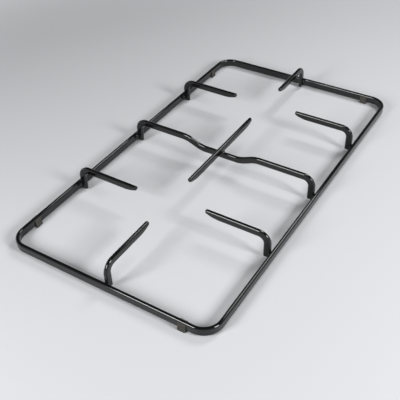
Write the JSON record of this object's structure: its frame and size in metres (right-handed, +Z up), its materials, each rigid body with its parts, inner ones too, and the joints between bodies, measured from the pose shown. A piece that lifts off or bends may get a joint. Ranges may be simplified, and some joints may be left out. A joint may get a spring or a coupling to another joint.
{
  "type": "hob pan support",
  "caption": "Rectangular enamelled steel pan support for a gas hob: a bar frame on slotted feet, with bent fingers, a dipped crossbar and a centre bar that carry pans level over the burners.",
  "frame": {"origin": "middle of the outline, on the floor under the feet", "axes": "+Z up, +Y along the long side to the rear of the hob, +X to the right"},
  "size_m": [0.2612, 0.474, 0.0354],
  "materials": {
    "enamel": "gloss black vitreous enamel over steel",
    "foot": "matt dark grey"
  },
  "bodies": {
    "root": {"outer_frame": "enamel", "crossbar": "enamel", "centre_bar": "enamel", "left_front_finger": "enamel", "left_rear_finger": "enamel", "right_front_finger": "enamel", "right_rear_finger": "enamel", "front_finger": "enamel", "rear_finger": "enamel", "left_front_foot": "foot", "left_rear_foot": "foot", "front_right_foot": "foot", "rear_right_foot": "foot"}
  },
  "joints": []
}
